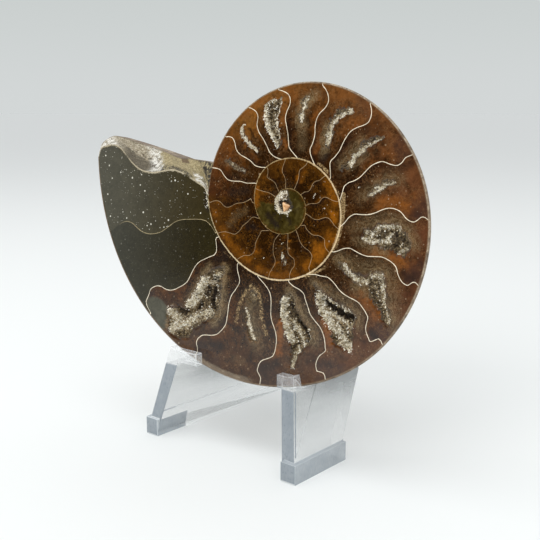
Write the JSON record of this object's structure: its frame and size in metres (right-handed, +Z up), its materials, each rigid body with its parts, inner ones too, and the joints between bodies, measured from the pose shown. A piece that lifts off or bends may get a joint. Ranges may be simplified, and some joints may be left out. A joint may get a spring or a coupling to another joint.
{
  "type": "fossil ammonite",
  "caption": "Polished half of a coiled, chambered fossil shell with a broken mouth, leaning back on a small clear plastic easel with hooked side arms.",
  "frame": {"origin": "middle of the overall footprint, at the floor under the easel's feet", "axes": "+X to the right as the polished face is seen from the front, +Y back away from the viewer, +Z up"},
  "size_m": [0.0888, 0.046, 0.0805],
  "materials": {
    "fossil": "polished cut face in amber, brown and cream, matt natural shell on the back",
    "clear_plastic": "clear, polished faces with sawn edges"
  },
  "bodies": {
    "root": {"ammonite_half": "fossil", "stand_left_arm": "clear_plastic", "stand_right_arm": "clear_plastic", "stand_back_plate": "clear_plastic"}
  },
  "joints": []
}
